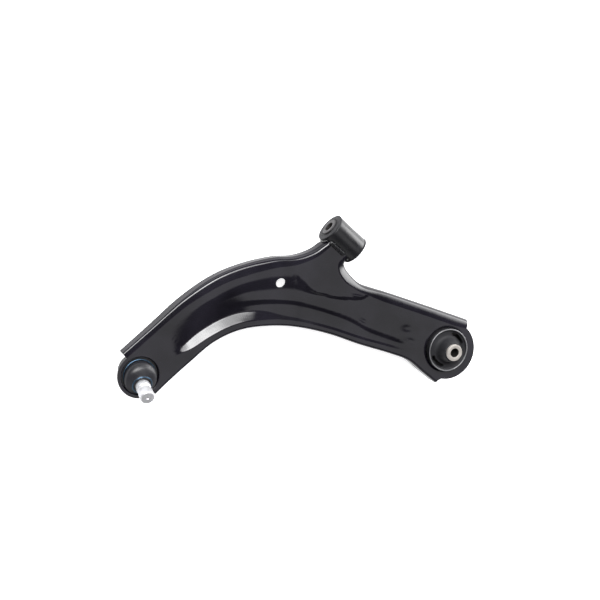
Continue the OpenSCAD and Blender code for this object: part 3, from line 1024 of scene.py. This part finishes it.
def build_ball_joint():
    """Housing, race, cover, rings, boot and stud."""
    outline = [
        (16.8, -21.0), (19.5, -21.0), (20.5, -20.0), (20.5, -9.8), (19.2, -9.8, 0.1),
        (19.2, -8.05, 0.1), (20.5, -8.05, 0.1), (20.5, 5.0, 0.1), (23.2, 5.0), (23.2, 7.2, 0.5),
        (17.2, 7.2, 0.3), (17.2, 10.2, 0.4), (13.8, 10.2), (11.8, 7.2), (11.8, 5.0),
        (16.5, 5.0, 0.1), (16.5, -18.0, 0.1), (18.0, -18.0, 0.1), (18.0, -20.3, 0.1),
        (16.8, -20.3, 0.1),
    ]
    turned("ball_housing", outline, "ball", MATERIALS["housing"], "arm", ["ball_joint_housing"],
           0.4)
    for node, finish in (("bearing_race", "race"), ("housing_cover", "plain"),
                         ("housing_snap_ring", "spring")):
        dress_cad(node, MATERIALS[finish])
    build_wire_ring("boot_base_wire", "ball", BASE_WIRE, "arm", "boot_base_ring")
    build_wire_ring("boot_stud_wire", "stud", STUD_WIRE, "stud_ring", "boot_stud_ring")
    build_boot()
    build_stud()


def build_wire_ring(name, where, size, body, node):
    """A ring of round wire."""
    radius, height, wire_r = size
    points = 16
    outline = []
    for k in range(points):
        a = 2 * math.pi * k / points
        outline.append((radius + wire_r * math.cos(a), height + wire_r * math.sin(a)))
    verts, faces = turn_outline(outline, where, 128)
    # The blue tint of this steel is a painted sky reflection.
    piece(name, new_mesh(name, verts, faces), MATERIALS["ring_steel_with_painted_sky"], body, [node])


# The boot's outside and inside: share of the way from its base to its top, and radius
BOOT_OUTLINE = [
    (0.0, 18.3), (0.02, 18.9), (0.20, 18.9), (0.235, 19.0), (0.27, 19.6), (0.33, 20.2),
    (0.42, 20.6), (0.50, 20.4), (0.58, 19.7), (0.65, 18.6), (0.71, 16.7), (0.76, 14.6),
    (0.80, 12.8), (0.83, 11.7), (0.86, 11.1), (0.90, 11.0), (0.97, 11.0), (0.99, 10.8),
    (1.0, 10.4),
]
BOOT_INSIDE = [
    (1.0, 9.12), (0.86, 9.12), (0.80, 10.6), (0.71, 14.4), (0.58, 18.0), (0.42, 19.0),
    (0.30, 18.6), (0.25, 17.25), (0.0, 17.25),
]
BOOT_BASE_Z = 7.3
BOOT_BEND_Z = 12.5
BOOT_TOP_AT = 26
BOOT_NECK = 6.5
# The boot starts to lean at this share of its height and leans fully after the second share
BOOT_LEANS_FROM = 0.12
BOOT_LEANS_OVER = 0.78
RING_POINTS = 96


def boot_ring(s, r):
    """A circle across the boot at share s of the way from its base to its top."""
    lean = math.radians(STUD_LEAN)
    top = np.array([BOOT_TOP_AT * math.sin(lean), BALL_Z + BOOT_TOP_AT * math.cos(lean)])
    heading = np.array([math.sin(lean), math.cos(lean)])
    ctrl = [
        np.array([0.0, BOOT_BASE_Z]), np.array([0.0, BOOT_BEND_Z]), top - heading * BOOT_NECK, top
    ]
    centre = (
        (1 - s) ** 3 * ctrl[0] + 3 * (1 - s) ** 2 * s * ctrl[1] + 3 * (1 - s) * s * s * ctrl[2]
        + s ** 3 * ctrl[3]
    )
    tilt = lean * float(ramp(np.array([(s - BOOT_LEANS_FROM) / BOOT_LEANS_OVER]))[0])
    turn = math.radians(STUD_LEAN_DIR)
    rows = []
    for k in range(RING_POINTS):
        a = 2 * math.pi * k / RING_POINTS
        across, side = r * math.cos(a), r * math.sin(a)
        x = centre[0] + across * math.cos(tilt)
        z = centre[1] - across * math.sin(tilt)
        rows.append((
            BALL_AXIS[0] + x * math.cos(turn) - side * math.sin(turn),
            BALL_AXIS[1] + x * math.sin(turn) + side * math.cos(turn), z
        ))
    return rows


def build_boot():
    """A closed rubber skin, shaped from the housing up to the leaning stud."""
    path = [(s, r) for s, r in curve(BOOT_OUTLINE, 3)] + BOOT_INSIDE
    verts = []
    faces = []
    for s, r in path:
        verts += boot_ring(max(s, 0.0), r)
    rows = len(path)
    for i in range(rows):
        here = i * RING_POINTS
        there = (i + 1) % rows * RING_POINTS
        for k in range(RING_POINTS):
            m = (k + 1) % RING_POINTS
            faces.append((here + k, here + m, there + m, there + k))
    obj = piece("boot", new_mesh("boot", verts, faces, sharp_deg=50), MATERIALS["boot"], None,
                ["dust_boot"])
    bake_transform(obj)


BALL_R = 13.5
NECK_R = 5.8
# The stud is this much thinner under the boot
STUD_SEAT_STEP = 0.25
# The pinch bolt's groove: height, radius and depth
GROOVE = (36.5, 5.0, 1.8)


def build_stud():
    """Ball, neck, boot seat, clamp groove and a centre-drilled end."""
    outline = [(0, -BALL_R)]
    stop = math.degrees(math.asin(NECK_R / BALL_R))
    for k in range(1, 25):
        a = math.radians(-90 + (180 - stop) * k / 24)
        outline.append((BALL_R * math.cos(a), BALL_R * math.sin(a), 0))
    seat_r = STUD_R - STUD_SEAT_STEP
    outline += [(NECK_R, 18, 0.6), (seat_r, 21, 0.6), (seat_r, 27), (STUD_R, 27.3)]
    groove_at, groove_r, depth = GROOVE
    half = math.sqrt(groove_r ** 2 - (groove_r - depth) ** 2)
    for k in range(13):
        z = -half + 2 * half * k / 12
        r = STUD_R + groove_r - depth - math.sqrt(groove_r ** 2 - z * z)
        outline.append((r, groove_at + z, 0.25))
    outline += [(STUD_R, STUD_LEN - 1.4, 0.5), (STUD_R - 1.4, STUD_LEN, 0.4),
                (2.5, STUD_LEN, 0.2), (0.9, STUD_LEN - 1.5, 0.2), (0, STUD_LEN - 1.6)]
    turned("ball_stud_ground", outline, "stud", MATERIALS["stud"], "stud", ["ball_stud"],
           0.3, sharp=32)


# Weld beads

def bead(name, path, radii, up, node):
    """A rippled weld run along a path of points."""
    count = 20
    verts, faces = [], []
    path = np.array(path, float)
    tangent = np.gradient(path, axis=0)
    tangent /= np.linalg.norm(tangent, axis=1)[:, None]
    up = np.array(up, float)
    for i, (centre, r) in enumerate(zip(path, radii)):
        t = tangent[i]
        lift = up[i] if up.ndim == 2 else up
        side = np.cross(t, lift)
        side /= np.linalg.norm(side)
        normal = np.cross(side, t)
        for k in range(count):
            a = 2 * math.pi * k / count
            verts.append(tuple(centre + r * (math.cos(a) * side + math.sin(a) * normal)))
    rows = len(path)
    for i in range(rows - 1):
        for k in range(count):
            m = (k + 1) % count
            faces.append((i * count + k, (i + 1) * count + k, (i + 1) * count + m, i * count + m))
    faces.append(tuple(range(count)))
    faces.append(tuple(reversed(range((rows - 1) * count, rows * count))))
    me = new_mesh(name, verts, faces, sharp_deg=60)
    piece(name, me, MATERIALS["weld"], "arm", [node])


def ripple(count, radius, pitch, spacing, depth=0.09):
    """Radii along a run: chevron ripples, tapered ends."""
    radii = []
    for i in range(count):
        along = i * spacing
        wave = (along / pitch) % 1
        end = min(i, count - 1 - i) * spacing
        taper = math.sqrt(min(1, (end + 0.25) / radius * (2 - min(1, end / radius))))
        radii.append(radius * (1 + depth * (wave - 0.5)) * max(0.25, taper))
    return radii


# The top run, and the two runs round the tube: points, spacing, bead radius and ripple pitch
TOP_RUN = (109, 0.25, 2.9, 2.4)
SIDE_RUN = (80, 0.228, 1.9, 2.2)
TOP_RUN_AT = (-15.6, 17)
TOP_RUN_WANDER = 0.25
TOP_RUN_RISE = 0.3
SIDE_RUN_R = 19.2
SIDE_RUN_FROM = -22
SIDE_RUN_OVER = 54


def build_welds():
    """The run across the neck's top and the two runs that follow the tube's round."""
    count, spacing, radius, pitch = TOP_RUN
    path = []
    for i in range(count):
        x = TOP_RUN_AT[0] + TOP_RUN_WANDER * math.sin(i * 0.31)
        path.append((x, TOP_RUN_AT[1] - i * spacing, WEB_TOP + TOP_RUN_RISE))
    bead("weld_top", path, ripple(count, radius, pitch, spacing), (0, 0, 1), "neck_weld_top")
    count, spacing, radius, pitch = SIDE_RUN
    for name, y, node in (("weld_front", 19.4, "neck_weld_front"),
                          ("weld_rear", -20.1, "neck_weld_rear")):
        path = []
        up = []
        for i in range(count):
            a = math.radians(SIDE_RUN_FROM + SIDE_RUN_OVER * i / (count - 1))
            path.append((-SIDE_RUN_R * math.cos(a), y, SIDE_RUN_R * math.sin(a)))
            up.append((-math.cos(a), 0, math.sin(a)))
        bead(name, path, ripple(count, radius, pitch, spacing), up, node)


# Studio

FLOOR_Z = -26.1
FLOOR_HALF = 3.0
FLOOR_GLOW = 0.85
# The camera's place in metres and its axes
CAMERA_LENS = 72
CAMERA_SENSOR = 36
CAMERA_AT = (-0.2423, 0.6235, 1.3937)
CAMERA_RIGHT = (0.62275, -0.68616, 0.37598)
CAMERA_UP = (0.77657, 0.60070, -0.18999)
CAMERA_BACK = (-0.09549, 0.41029, 0.90694)
# Soft lights: direction, half angle at full strength, half angle at zero, strength
LIGHTS = (
    ((0.07, -0.38, 0.92), 9, 19, 0.85),
    ((0.21, 0.52, 0.83), 10, 22, 13.0),
    ((0.49, 0.41, 0.77), 8, 20, 9.0),
    ((0.69, 0.19, 0.70), 4, 12, 2.5),
    ((0.95, 0.10, 0.10), 6, 18, 1.5),
    ((0.88, -0.45, 0.12), 8, 33, 9.0),
    ((-0.90, -0.40, 0.10), 10, 40, 0.5),
)
ROOM_LIGHT = 0.06


def build_world():
    """A dim room with soft round lights."""
    world = bpy.data.worlds.new("studio")
    bpy.context.scene.world = world
    world.use_nodes = True
    nodes, links = world.node_tree.nodes, world.node_tree.links
    background = nodes["Background"]
    coords = nodes.new("ShaderNodeTexCoord")
    total = None
    for direction, inner, outer, strength in LIGHTS:
        dot = nodes.new("ShaderNodeVectorMath")
        dot.operation = "DOT_PRODUCT"
        links.new(coords.outputs["Generated"], dot.inputs[0])
        dot.inputs[1].default_value = Vector(direction).normalized()
        soft = nodes.new("ShaderNodeMapRange")
        soft.interpolation_type = "SMOOTHSTEP"
        soft.inputs["From Min"].default_value = math.cos(math.radians(outer))
        soft.inputs["From Max"].default_value = math.cos(math.radians(inner))
        soft.inputs["To Min"].default_value = 0.0
        soft.inputs["To Max"].default_value = strength
        links.new(dot.outputs["Value"], soft.inputs["Value"])
        add = nodes.new("ShaderNodeMath")
        add.operation = "ADD"
        links.new(soft.outputs["Result"], add.inputs[0])
        if total is None:
            add.inputs[1].default_value = ROOM_LIGHT
        else:
            links.new(total, add.inputs[1])
        total = add.outputs["Value"]
    links.new(total, background.inputs["Strength"])
    background.inputs["Color"].default_value = (1, 1, 1, 1)


def build_floor():
    """A pale, evenly lit table."""
    me = bpy.data.meshes.new("floor")
    half = FLOOR_HALF
    z = FLOOR_Z * MM
    corners = [(-half, -half, z), (half, -half, z), (half, half, z), (-half, half, z)]
    me.from_pydata(corners, [], [(0, 1, 2, 3)])
    floor = bpy.data.objects.new("floor", me)
    bpy.context.scene.collection.objects.link(floor)
    mat, _, _, bsdf = shader("pale_floor", (0.86, 0.86, 0.87), 0.9)
    bsdf.inputs["Emission Color"].default_value = (1, 1, 1, 1)
    bsdf.inputs["Emission Strength"].default_value = FLOOR_GLOW
    me.materials.append(mat)


def build_camera():
    """The photograph's view."""
    data = bpy.data.cameras.new("camera")
    data.lens = CAMERA_LENS
    data.sensor_width = CAMERA_SENSOR
    cam = bpy.data.objects.new("camera", data)
    bpy.context.scene.collection.objects.link(cam)
    axes = Matrix((CAMERA_RIGHT, CAMERA_UP, CAMERA_BACK)).transposed()
    cam.matrix_world = Matrix.Translation(CAMERA_AT) @ axes.to_4x4()
    bpy.context.scene.camera = cam


bpy.context.scene.view_settings.view_transform = "Standard"
build_world()
build_floor()
build_camera()
build_shell(MATERIALS["arm"])
build_front_bush()
build_rear_bush()
build_ball_joint()
build_welds()
